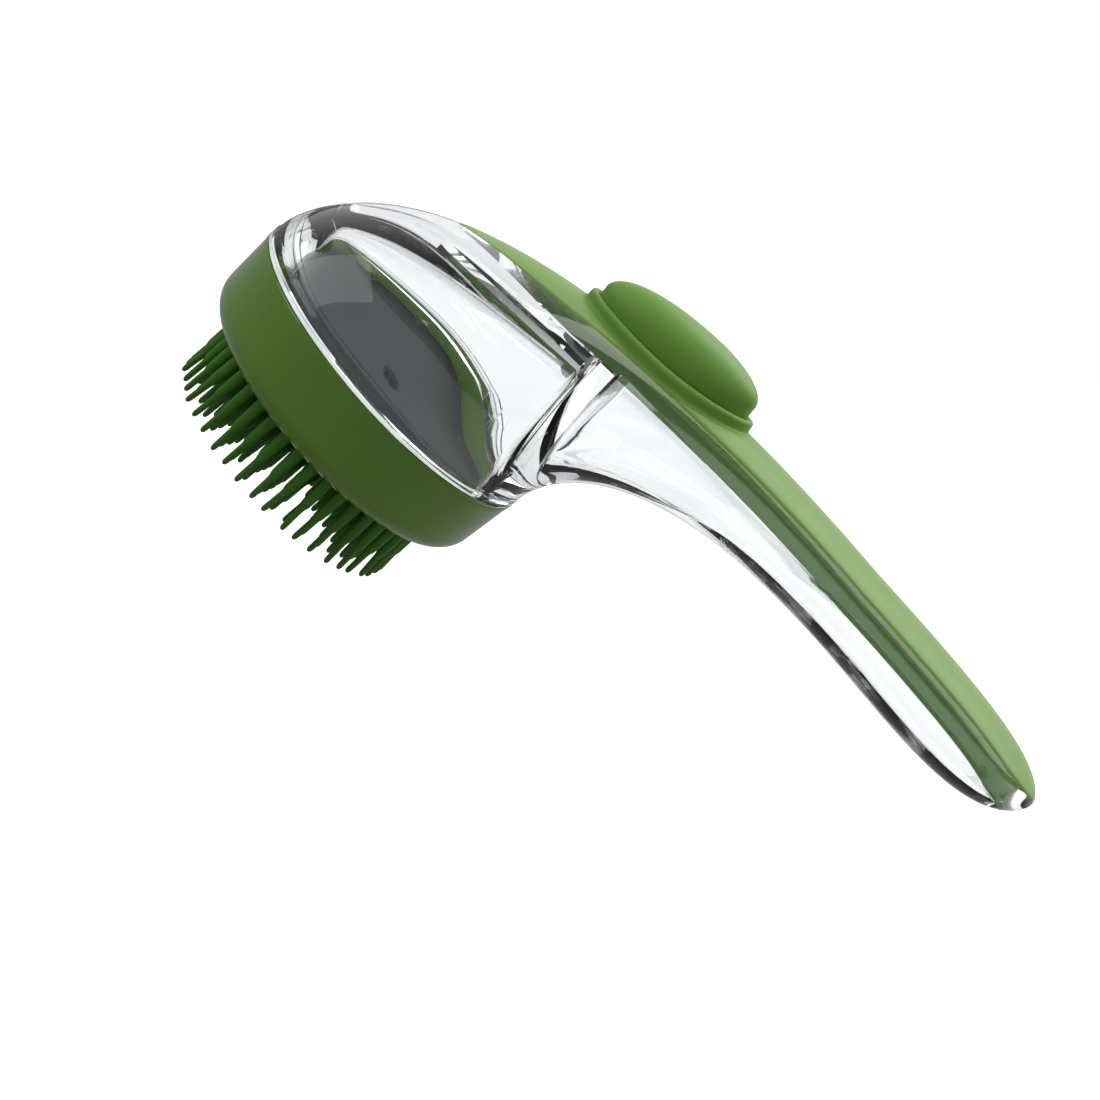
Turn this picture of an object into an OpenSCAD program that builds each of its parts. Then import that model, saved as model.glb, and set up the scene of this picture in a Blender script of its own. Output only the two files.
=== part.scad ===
// Pet bath brush that dispenses shampoo from a clear reservoir in its head.
// Origin: centre of the footprint, on the plane of the bristle tips. +X runs along the handle.

/* [Head] */
// Radius of the collar and of the reservoir's rim
rim_r = 33; // [31:0.5:35]
// Height of the collar
collar_h = 16; // [15:0.5:18]
// Radius of the rounding under the collar
collar_edge_r = 5.3; // [4.5:0.1:5.6]
// Height of the bristle tips below the top of the collar
tips_depth = 29; // [27:0.5:32]
// Wall of the clear dome at its front
dome_wall = 5; // [4:0.5:6]

/* [Handle] */
// Half the width of the handle
handle_half_w = 13.5; // [12.5:0.5:14.5]
// Half the width of the soft grip strip
strip_half_w = 10; // [9:0.25:10.5]
// Thickness of the grip strip
strip_t = 1.8; // [1.4:0.1:2]
// Thickness of the cover plate under the strip
cover_t = 1.6; // [1.2:0.1:1.8]
// Depth of the cover's skirt below the surface
skirt_depth = 4.7; // [4.4:0.1:5]
// Wall of the handle
handle_wall = 2.6; // [2:0.1:3]

/* [Button] */
// Distance from the head's axis to the middle of the button
button_x = 31.45; // [30:0.05:34]
// Tilt of the button, rising towards the handle's end
button_tilt = 10.9; // [9:0.1:13]
// Half the length of the button's flange
flange_a = 18.9; // [18:0.1:19.5]
// Half the width of the button's flange
flange_b = 9.3; // [9:0.1:9.5]
// Height of the button above the strip
button_h = 8.6; // [7.5:0.1:9.5]
// Travel of the button
button_travel = 2.6; // [2:0.1:2.6]

/* [Pump] */
// Bore of the pump cup
cup_r = 4.8; // [4.6:0.05:4.9]
// Wall of the pump cup
cup_wall = 0.8; // [0.7:0.05:0.9]
// Turns of the return spring
spring_turns = 5; // [4:1:6]
// Diameter of the spring wire
spring_wire = 0.5; // [0.4:0.05:0.6]

/* [Thread] */
// Rise of the collar's three-start thread in one turn
thread_lead = 9; // [8.5:0.5:9]
// Axial thickness of one thread ridge
ridge_t = 1.2; // [1:0.1:1.2]
// Angle that one ridge covers
ridge_span = 100; // [80:5:105]

/* [Bristles] */
// Number of rings of bristles
rings = 6; // [6]
// Radius of the first ring of bristles
first_ring_r = 7.4; // [7.2:0.1:7.8]
// Radius of the last ring of bristles
last_ring_r = 24.6; // [24:0.1:24.8]
// Distance between neighbours in a ring
bristle_pitch = 3.6; // [3.4:0.1:4.2]
// Outward lean of the last ring, in degrees
splay = 5; // [0:0.5:6]

/* [Hidden] */
$fn = 96;

// Side view of the outer skin, as cubic curves in X and Z from the rim's centre
top_front = [[-rim_r, 0], [-rim_r, 3.2], [-30.8, 42.1], [84, 43.4]];
top_rear = [[84, 43.4], [108, 44.4], [128, 45], [133, 39.7]];
under_front = [[rim_r, 0], [rim_r, 1.1], [29.7, 26.7], [90, 28]];
under_rear = [[90, 28], [108, 28.3], [131, 26.5], [133, 39.7]];
s_end = 1.985;
strip_tip_x = -12;
tip_run = 24;
roof = [[-28, 0], [-27, 14], [-14, 22.5], [26, 28.6]];
partition_foot_x = 29;
partition_lean = 7;
partition_t = 2.4;

// Heights of the pieces in the head, measured from the rim
gap = 0.15;
flange_h = 1.2;
skirt_r = 29.3;
mouth_r = 27;
skirt_h = 7.5;
seal_t = 0.6;
floor_top = -skirt_h - 0.1 - seal_t;
floor_t = 1.4;
plug_top = -4.5;
plug_r = mouth_r - 0.3;
drain_r = 1.5;
backing_top = floor_top - floor_t - 0.3;
backing_t = 1.6;
ledge_z = backing_top - backing_t - 0.1;
pad_t = 2.5;
pad_face = backing_top - backing_t - pad_t;
collar_bore_r = 30.4;
lip_r = 27;
ridge_h = 0.8;
ridge_z = -6.6;
nozzle_r = 5;
nozzle_bore = 3.6;
axis_hole_r = nozzle_r + 0.3;

// Heights of the pump's pieces, measured along the button's axis
button_z = top_z_at(button_x);
dome_a = flange_a - 1.75;
dome_b = flange_b - 1.75;
dome_clear = 0.15;
base_w = -5.45;
base_t = 0.8;
plate_a = 17.6;
plate_b = 8.4;
duct_w = base_w + base_t + 1.1;
piston_t = 1;
piston_w = base_w + base_t + button_travel + 0.1;
cup_top = piston_w + piston_t + 0.1;
spout_u = -13;
spring_r = 2.0;
spring_foot = base_w + base_t;
spring_top = 5.4;

head_x = -(end_x() - rim_r) / 2;

function end_x() = max(top_at(s_end)[0], under_at(s_end)[0]);
function bezier(p, t) = pow(1 - t, 3) * p[0] + 3 * t * pow(1 - t, 2) * p[1]
                        + 3 * t * t * (1 - t) * p[2] + pow(t, 3) * p[3];
function top_at(s) = s <= 1 ? bezier(top_front, s) : bezier(top_rear, s - 1);
function under_at(s) = s <= 1 ? bezier(under_front, s) : bezier(under_rear, s - 1);
function half_w(s) = s <= 1
    ? handle_half_w + (rim_r - handle_half_w) * (1 + cos(180 * min(1, pow(s / 0.88, 1.6)))) / 2
    : handle_half_w * sqrt(1 - pow(s - 1, 5));
// The height of the crown at a distance from the head's axis, found by halving
function top_z_at(x, low = 0, high = 1, n = 24) = n == 0
    ? top_at(low)[1]
    : (top_at((low + high) / 2)[0] < x ? top_z_at(x, (low + high) / 2, high, n - 1)
                                       : top_z_at(x, low, (low + high) / 2, n - 1));
function strip_w(s) = min(strip_half_w * sin(90 * pow(min(1, max(0.0001,
    (top_at(s)[0] - strip_tip_x) / tip_run)), 0.8)), 0.8 * half_w(s));

// A closed shell through oval rings. Each ring is [top point, under point, half width].
module loft(list, n = 36) {
    count = len(list);
    points = [for (r = list) for (k = [0:n - 1]) let (a = 360 * k / n, m = (r[0] + r[1]) / 2,
              v = (r[0] - r[1]) / 2) [m[0] + v[0] * cos(a), r[2] * sin(a), m[1] + v[1] * cos(a)]];
    sides = [for (j = [0:count - 2]) for (k = [0:n - 1]) let (a = j * n + k,
             b = j * n + (k + 1) % n) each [[a, b, b + n], [a, b + n, a + n]]];
    polyhedron(concat(points), concat([[for (k = [n - 1:-1:0]) k]], sides,
               [[for (k = [0:n - 1]) (count - 1) * n + k]]));
}

// One point of the skin, moved in by d along the crown's normal. Past the strip's own
// thickness the depth tapers off towards the strip's pointed tip.
function taper(s) = min(1, 0.3 + 0.7 * (top_at(s)[0] - strip_tip_x) / tip_run);
function skin(s, y, d) = let (m = (top_at(s) + under_at(s)) / 2, v = (top_at(s) - under_at(s)) / 2,
    h = sqrt(max(0, 1 - pow(y / half_w(s), 2))), run = top_at(s + 0.001) - top_at(s - 0.001),
    n = [run[1], -run[0]] / norm(run), e = d <= strip_t ? d : strip_t + (d - strip_t) * taper(s))
    [m[0] + v[0] * h + n[0] * e, y, m[1] + v[1] * h + n[1] * e];

// A sheet that follows the skin from depth d0 to d1, between two fractions of the strip's width
module band(d0, d1, from = -1, to = 1, grow = 0, s0 = 0.56, s1 = 1.93, ns = 40, ny = 10) {
    row = ny + 1;
    half = (ns + 1) * row;
    points = [for (d = [d0, d1]) for (j = [0:ns]) for (k = [0:ny])
              let (s = s0 + (s1 - s0) * j / ns, w = strip_w(s) + grow)
              skin(s, w * (from + (to - from) * k / ny), d)];
    grid = [for (j = [0:ns - 1]) for (k = [0:ny - 1]) let (a = j * row + k)
            [a, a + 1, a + row + 1, a + row]];
    low = [for (q = grid) [q[0] + half, q[3] + half, q[2] + half, q[1] + half]];
    edge = [for (j = [0:ns - 1]) let (a = j * row, b = a + ny)
            each [[a, a + row, a + row + half, a + half], [b + row, b, b + half, b + row + half]]];
    ends = [for (k = [0:ny - 1]) let (b = ns * row + k)
            each [[k + 1, k, k + half, k + 1 + half], [b, b + 1, b + 1 + half, b + half]]];
    faces = [for (q = concat(grid, low, edge, ends)) each [[q[0], q[1], q[2]], [q[0], q[2], q[3]]]];
    polyhedron(points, faces);
}

// An oval shell from rings [half length, half width, height at the middle, droop at the sides]
module oval_rings(list, n = 40) {
    count = len(list);
    points = [for (r = list) for (k = [0:n - 1]) let (a = 360 * k / n)
              [r[0] * cos(a), r[1] * sin(a), r[2] - r[3] * pow(sin(a), 2)]];
    centres = [[0, 0, list[0][2]], [0, 0, list[count - 1][2]]];
    sides = [for (j = [0:count - 2]) for (k = [0:n - 1]) let (a = j * n + k,
             b = j * n + (k + 1) % n) each [[a, a + n, b + n], [a, b + n, b]]];
    caps = [for (k = [0:n - 1]) let (b = (k + 1) % n, t = (count - 1) * n)
            each [[count * n, k, b], [count * n + 1, t + b, t + k]]];
    polyhedron(concat(points, centres), concat(sides, caps));
}

// The height of the skin over a place, found by halving, and the same in the button's own axes
function skin_z(x, y, low = 0.3, high = 1.2, n = 24) = n == 0
    ? skin(low, y, 0)[2]
    : (skin((low + high) / 2, y, 0)[0] < x ? skin_z(x, y, (low + high) / 2, high, n - 1)
                                           : skin_z(x, y, low, (low + high) / 2, n - 1));
function drape(u, v, w = 0, n = 3) = n == 0 ? w : drape(u, v,
    (skin_z(button_x + u * cos(button_tilt) - w * sin(button_tilt), v) - button_z - u * sin(button_tilt))
    / cos(button_tilt), n - 1);

// A closed hoop round the button that follows the skin, from rings [outset from the flange, height]
module draped_hoop(list, n = 48) {
    count = len(list);
    points = [for (r = list) for (k = [0:n - 1])
              let (a = 360 * k / n, u = (flange_a + r[0]) * cos(a), v = (flange_b + r[0]) * sin(a))
              [u, v, r[1] + drape(u, v)]];
    polyhedron(points, [for (j = [0:count - 1]) for (k = [0:n - 1])
        let (a = j * n + k, b = j * n + (k + 1) % n, c = (j + 1) % count * n + k,
             d = (j + 1) % count * n + (k + 1) % n) each [[a, c, d], [a, d, b]]]);
}

module oval(a, b, w0, w1) { translate([0, 0, w0]) linear_extrude(w1 - w0) scale([1, b / a]) circle(a); }

// Three ridges that climb round the head's axis between two radii
module ridges(r0, r1, z0) {
    steps = 10;
    for (i = [0:2]) rotate(120 * i + 10) {
        points = [for (j = [0:steps]) let (a = ridge_span * j / steps, z = z0 + thread_lead * a / 360)
                  each [for (c = [[r0, -1], [r1, -1], [r1, 1], [r0, 1]])
                        [c[0] * cos(a), c[0] * sin(a), z + c[1] * ridge_t / 2]]];
        sides = [for (j = [0:steps - 1]) for (k = [0:3]) let (a = 4 * j + k, b = 4 * j + (k + 1) % 4)
                 each [[a, b + 4, a + 4], [a, b, b + 4]]];
        polyhedron(points, concat(sides, [[3, 2, 1, 0]], [[for (k = [0:3]) 4 * steps + k]]));
    }
}

module ring(r_out, r_in, z0, z1) {
    translate([0, 0, z0]) difference() {
        cylinder(r = r_out, h = z1 - z0);
        translate([0, 0, -1]) cylinder(r = r_in, h = z1 - z0 + 2);
    }
}

module at_head() { translate([head_x, 0, tips_depth]) children(); }
module at_button() {
    at_head() translate([button_x, 0, button_z]) rotate([0, -button_tilt, 0]) children();
}
module partition_side(x0, behind) {
    translate([x0, 0, 0]) rotate([0, -partition_lean, 0])
        translate([behind ? 0 : -200, -60, -30]) cube([200, 120, 100]);
}

module outer_skin() {
    loft([for (j = [0:36]) let (s = j < 26 ? 1.04 * j / 26 : 1.04 + (s_end - 1.04)
          * sin(90 * (j - 26) / 10)) [top_at(s), under_at(s), half_w(s)]]);
}
// Half the width of the outer skin at a point of the side view
function skin_t(x, z, low = 0, high = 1, n = 20) = let (s = (low + high) / 2, a = top_at(s), b = under_at(s))
    n == 0 ? s
    : ((a[0] - b[0]) * (z - b[1]) - (a[1] - b[1]) * (x - b[0]) < 0 ? skin_t(x, z, s, high, n - 1)
                                                                    : skin_t(x, z, low, s, n - 1));
function skin_half_w(x, z) = let (s = skin_t(x, z), a = top_at(s), b = under_at(s),
    c = 2 * ((x - b[0]) * (a[0] - b[0]) + (z - b[1]) * (a[1] - b[1])) / pow(norm(a - b), 2) - 1)
    half_w(s) * sqrt(max(0, 1 - c * c));
module reservoir() {
    n = 40;
    stations = [for (j = [0:22]) j / 22];
    points = [for (t = stations) for (k = [0:n - 1]) let (p = 2 + 3 * min(1, t / 0.25),
              a = 360 * k / n, c = sign(cos(a)) * pow(abs(cos(a)), 2 / p),
              r = bezier(roof, t), f = [31 - 3 * t, 26 * t], q = (r + f) / 2 + (r - f) / 2 * c)
              [q[0], sign(sin(a)) * pow(abs(sin(a)), 2 / p)
                     * max(1, min(skin_half_w(q[0], q[1]) - 3.2, mouth_r + 0.5)), q[1]]];
    count = len(stations);
    sides = [for (j = [0:count - 2]) for (k = [0:n - 1]) let (a = j * n + k,
             b = j * n + (k + 1) % n) each [[a, b, b + n], [a, b + n, a + n]]];
    intersection() {
        polyhedron(points, concat([[for (k = [n - 1:-1:0]) k]], sides,
                   [[for (k = [0:n - 1]) (count - 1) * n + k]]));
        partition_side(partition_foot_x, false);
    }
}
module handle_hollow() {
    intersection() {
        loft([for (j = [0:16]) let (s = 0.42 + 1.4 * j / 16, t = top_at(s), u = under_at(s),
              d = (t - u) / norm(t - u)) [t - 4.6 * d, u + (j < 6 ? 4 : 3) * d,
              min(half_w(s) - handle_wall, handle_half_w)]], 28);
        partition_side(partition_foot_x + partition_t, true);
    }
}
module clear_body() {
    color([0.85, 0.9, 0.92, 0.4]) at_head() {
        difference() {
            union() {
                outer_skin();
                cylinder(r = rim_r, h = flange_h);
                translate([0, 0, -skirt_h]) cylinder(r = skirt_r, h = skirt_h + 1);
                ridges(skirt_r - 0.4, skirt_r + ridge_h, ridge_z);
            }
            reservoir();
            translate([0, 0, -skirt_h - 1]) cylinder(r = mouth_r, h = skirt_h + 1.5);
            handle_hollow();
            band(-2, skirt_depth + 1, grow = 0.1, s0 = 0.557, s1 = 1.935);
            translate([-head_x, 0, -tips_depth]) at_button() translate([spout_u, 0, -14])
                cylinder(r = 2.6, h = 10);
        }
    }
}
module handle_cover() {
    color("forestgreen") difference() {
        union() {
            at_head() {
                band(strip_t, strip_t + cover_t);
                for (side = [-1, 1]) band(strip_t + cover_t - 0.3, skirt_depth, from = 0.91 * side - 0.06,
                                          to = 0.91 * side + 0.06, ny = 1, s0 = 0.58, s1 = 1.8, ns = 37);
            }
            at_head() for (x = [62, 90, 116]) for (side = [-1, 1])
                translate([x, side * 9 - 0.5, 33.5]) cube([4, 1, 4]);
        }
        at_button() {
            oval(dome_a + 0.3, dome_b + 0.3, -4.6, 6);
            oval(plate_a + 0.05, plate_b + 0.05, -9, base_w + base_t);
        }
    }
}
module grip_strip() {
    color("yellowgreen") difference() {
        at_head() band(0, strip_t);
        at_button() oval(dome_a + 0.8, dome_b + 0.8, -9, 6);
    }
}
module button_flange() {
    inner = dome_clear - flange_a + dome_a;
    neck = 0.75 - flange_a + dome_a;
    color("limegreen") at_button() draped_hoop([[0, 0.05], [0, 1.6], [-0.5, 2.1], [inner, 2.1],
        [inner, -strip_t + 0.1], [neck, -strip_t + 0.1], [neck, 0.05]]);
}
module pump_cup() {
    color("white") at_button() difference() {
        union() {
            oval(plate_a, plate_b, base_w, base_w + base_t);
            ring(cup_r + cup_wall, cup_r, spring_foot - 0.2, cup_top);
        }
        translate([spout_u, 0, base_w - 1]) cylinder(r = 1.5, h = 4);
        translate([0, 0, base_w - 1]) cylinder(r = 0.9, h = 4);
        translate([-cup_r - 3, 0, duct_w]) rotate([0, 90, 0]) cylinder(r = 1.1, h = 5);
    }
}
module inlet_flap() {
    color("gray") at_button() {
        translate([0, 0, spring_foot]) cylinder(r = 1.5, h = 0.4);
        translate([0, 0, base_w - 0.6]) cylinder(r = 0.5, h = base_t + 0.8);
        translate([0, 0, base_w - 0.8]) cylinder(r = 1.3, h = 0.5);
    }
}
module air_duct() {
    color("white") at_button() difference() {
        union() {
            translate([spout_u, 0, duct_w]) rotate([0, 90, 0]) cylinder(r = 1.1, h = -spout_u - cup_r - 0.1);
            translate([spout_u, 0, -9.4]) cylinder(r = 1.5, h = 9.4 + duct_w + 1.1);
        }
        translate([spout_u, 0, duct_w]) rotate([0, 90, 0]) cylinder(r = 0.6, h = 12);
        translate([spout_u, 0, -12]) cylinder(r = 0.9, h = 12 + duct_w);
    }
}
module duct_grommet() {
    color("dimgray") at_button() translate([spout_u, 0, 0]) ring(2.6, 1.5, -8.8, -5.9);
}
module duckbill_valve() {
    color("silver") at_button() translate([spout_u, 0, -9.4]) rotate([180, 0, 0]) difference() {
        union() {
            cylinder(r = 1.5, h = 0.8);
            translate([0, 0, 0.8]) cylinder(r1 = 1.5, r2 = 0.5, h = 1.8);
        }
        translate([0, 0, -1]) cylinder(r = 0.9, h = 1.8);
        translate([-0.1, -2, 0.5]) cube([0.2, 4, 4]);
    }
}
module button_dome() {
    color("limegreen") at_button() difference() {
        oval_rings([[dome_a, dome_b, -1, 0], [dome_a, dome_b, 3.9, 1.6],
                    [dome_a - 1.2, dome_b - 0.9, 5.5, 1.4], [dome_a - 3.6, dome_b - 2.1, 7.1, 1.1],
                    [dome_a - 7.2, dome_b - 3.6, 8.1, 0.6], [3.5, 1.6, button_h, 0.1]]);
        oval_rings([[dome_a - 1.4, dome_b - 1.4, -4, 0], [dome_a - 1.4, dome_b - 1.4, 3.2, 1.6],
                    [dome_a - 4.6, dome_b - 2.8, 5.4, 1.1], [dome_a - 8, dome_b - 4, 6.3, 0.5],
                    [3, 1.2, 6.8, 0.1]]);
        translate([0, 0, 4]) cylinder(r = 3.3, h = 2.6);
    }
}
module plunger() {
    color("white") at_button() difference() {
        union() {
            translate([0, 0, piston_w]) cylinder(r = 3.3, h = 6.6 - piston_w);
            translate([0, 0, piston_w]) cylinder(r = 4.1, h = piston_t);
        }
        translate([0, 0, piston_w - 1]) cylinder(r = 2.6, h = spring_top - piston_w + 1);
    }
}
module piston_seal() {
    color("dimgray") at_button() ring(cup_r - 0.05, 4.1, piston_w, piston_w + piston_t);
}
module return_spring() {
    per_turn = 12;
    sides = 6;
    steps = spring_turns * per_turn;
    rise = spring_top - spring_foot - spring_wire;
    points = [for (j = [0:steps]) for (k = [0:sides - 1]) let (a = 360 * j / per_turn,
              b = 360 * k / sides, r = spring_r + spring_wire / 2 * cos(b))
              [r * cos(a), r * sin(a), rise * j / steps + spring_wire / 2 * sin(b)]];
    walls = [for (j = [0:steps - 1]) for (k = [0:sides - 1]) let (a = j * sides + k,
             b = j * sides + (k + 1) % sides) each [[a, b + sides, a + sides], [a, b, b + sides]]];
    color("silver") at_button() translate([0, 0, spring_foot + spring_wire / 2])
        polyhedron(points, concat(walls, [[for (k = [sides - 1:-1:0]) k]],
                   [[for (k = [0:sides - 1]) steps * sides + k]]));
}
module floor_plate() {
    color("darkslategray") at_head() difference() {
        union() {
            difference() {
                union() {
                    translate([0, 0, floor_top - floor_t]) cylinder(r = skirt_r + 0.6, h = floor_t);
                    translate([0, 0, floor_top - 0.5]) cylinder(r = plug_r, h = plug_top - floor_top + 0.5);
                }
                translate([0, 0, floor_top - floor_t - 1])
                    cylinder(r = plug_r - 1.4, h = plug_top - floor_top + floor_t - 0.4);
            }
            translate([0, 0, pad_face - 0.6]) cylinder(r = nozzle_r, h = plug_top - pad_face);
        }
        translate([0, 0, pad_face - 2]) cylinder(r = nozzle_bore, h = plug_top - pad_face + 0.6);
        translate([0, 0, pad_face]) cylinder(r = drain_r, h = 20);
    }
}
module mouth_seal() { color("dimgray") at_head() ring(skirt_r - 0.1, mouth_r + 0.2, floor_top, floor_top + seal_t); }
module dispense_valve() {
    color("silver") at_head() translate([0, 0, pad_face - 0.4]) difference() {
        cylinder(r = nozzle_bore, h = 1.2);
        for (turn = [0, 90]) rotate(turn) translate([-2.4, -0.1, -1]) cube([4.8, 0.2, 4]);
    }
}
module valve_retainer() {
    color("white") at_head() ring(nozzle_bore, 2.6, pad_face + 0.8, pad_face + 1.8);
}
module collar() {
    arc_z = -collar_h + collar_edge_r;
    color("olivedrab") at_head() union() {
        rotate_extrude() polygon(concat([[collar_bore_r, -gap], [rim_r, -gap]],
            [for (a = [0:9:90]) [lip_r + collar_edge_r * cos(a), arc_z - collar_edge_r * sin(a)]],
            [[lip_r, ledge_z], [collar_bore_r, ledge_z]]));
        ridges(collar_bore_r - ridge_h, collar_bore_r + 0.4, ridge_z + thread_lead / 6);
    }
}
module pad_backing() {
    color("gray") at_head() difference() {
        ring(collar_bore_r - 0.3, axis_hole_r, backing_top - backing_t, backing_top);
        for (a = [0:30:359]) rotate(a) translate([20, 0, -20]) cylinder(r = 1.2, h = 20);
    }
}
module bristle_pad() {
    color("green") at_head() {
        ring(lip_r - 0.2, axis_hole_r, pad_face, backing_top - backing_t);
        for (a = [0:30:359]) rotate(a) translate([20, 0, backing_top - backing_t - 0.5])
            cylinder(r = 1.2, h = backing_t + 0.4);
    }
}
module bristle(lean) {
    length = tips_depth + pad_face - (lean > 0 ? 0.1 : 0);
    rotate([0, 180 - lean, 0]) rotate_extrude($fn = 24)
        polygon([[0, 0.15], [1.35, 0.15], [1, 0.6 * length], [0.68, 0.64 * length], [0.5, length],
                 [0, length]]);
}
module bristle_rings(first, last) {
    step = (last_ring_r - first_ring_r) / (rings - 1);
    at_head() translate([0, 0, pad_face]) {
        ring(first_ring_r + step * (last - 1) + 1.6, first_ring_r + step * (first - 1) - 1.6, -0.3, 0);
        for (i = [first:last]) {
            r = first_ring_r + step * (i - 1);
            count = round(2 * PI * r / bristle_pitch);
            for (k = [0:count - 1]) rotate(360 * (k + 0.5 * (i % 2)) / count) translate([r, 0, 0])
                bristle(splay * max(0, i - 2) / (rings - 2));
        }
    }
}
module bristles_inner() { color("darkgreen") bristle_rings(1, 2); }
module bristles_middle() { color("darkgreen") bristle_rings(3, 4); }
module bristles_outer() { color("darkgreen") bristle_rings(5, 6); }

clear_body();
handle_cover();
grip_strip();
button_flange();
pump_cup();
inlet_flap();
air_duct();
duct_grommet();
duckbill_valve();
button_dome();
plunger();
piston_seal();
return_spring();
floor_plate();
mouth_seal();
dispense_valve();
valve_retainer();
collar();
pad_backing();
bristle_pad();
bristles_inner();
bristles_middle();
bristles_outer();
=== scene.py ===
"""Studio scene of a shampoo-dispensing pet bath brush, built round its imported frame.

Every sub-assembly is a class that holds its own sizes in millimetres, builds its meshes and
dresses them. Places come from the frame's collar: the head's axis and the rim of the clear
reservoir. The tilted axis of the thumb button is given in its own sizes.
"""

from __future__ import annotations

import logging
import math
import random
from dataclasses import dataclass
from enum import Enum
from typing import Callable, Sequence

import bmesh
import bpy
from mathutils import Matrix, Vector

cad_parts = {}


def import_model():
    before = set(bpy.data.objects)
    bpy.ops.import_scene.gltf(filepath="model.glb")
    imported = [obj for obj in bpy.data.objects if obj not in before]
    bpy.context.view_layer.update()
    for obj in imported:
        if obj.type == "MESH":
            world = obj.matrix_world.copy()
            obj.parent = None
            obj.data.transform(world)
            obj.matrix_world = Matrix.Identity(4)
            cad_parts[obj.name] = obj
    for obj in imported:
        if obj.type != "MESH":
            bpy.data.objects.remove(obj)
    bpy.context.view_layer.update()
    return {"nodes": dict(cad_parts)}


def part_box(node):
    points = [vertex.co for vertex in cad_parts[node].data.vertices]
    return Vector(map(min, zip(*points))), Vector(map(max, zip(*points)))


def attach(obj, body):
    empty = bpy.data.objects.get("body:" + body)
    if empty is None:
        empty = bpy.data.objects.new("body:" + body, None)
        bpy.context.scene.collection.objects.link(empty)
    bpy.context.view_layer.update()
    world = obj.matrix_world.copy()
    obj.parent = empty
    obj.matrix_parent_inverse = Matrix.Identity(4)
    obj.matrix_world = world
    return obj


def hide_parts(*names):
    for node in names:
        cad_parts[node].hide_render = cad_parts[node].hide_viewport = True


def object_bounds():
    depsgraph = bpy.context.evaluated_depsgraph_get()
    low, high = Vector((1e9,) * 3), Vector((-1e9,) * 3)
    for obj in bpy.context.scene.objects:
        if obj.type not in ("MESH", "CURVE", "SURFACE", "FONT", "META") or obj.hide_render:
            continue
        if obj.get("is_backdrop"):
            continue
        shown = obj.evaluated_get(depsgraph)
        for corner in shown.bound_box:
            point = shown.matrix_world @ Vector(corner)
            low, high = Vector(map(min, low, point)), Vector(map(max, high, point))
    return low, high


LOG = logging.getLogger("bath_brush")
MM = 0.001
Pair = tuple[float, float]
Colour = tuple[float, float, float]
Place = Callable[[float, float], Vector]
Section = Callable[[float, float], Pair]
Width = Callable[[float, float], float]


class Body(Enum):
    """The rigid bodies of the frame that pieces ride on."""

    HANDLE = "handle"
    BUTTON = "button"
    FLOOR = "floor_unit"
    COLLAR = "collar_unit"


def bezier(points: Sequence[Pair], t: float) -> Vector:
    """A point of a cubic curve.

    Args:
        points: The four control points.
        t: Position along the curve, from 0 to 1.

    Returns:
        The point as a two-dimensional vector.
    """
    a, b, c, d = (Vector(p) for p in points)
    return (1 - t) ** 3 * a + 3 * t * (1 - t) ** 2 * b + 3 * t * t * (1 - t) * c + t**3 * d


# ---------------------------------------------------------------------------------------------
# Modelling
# ---------------------------------------------------------------------------------------------


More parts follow.
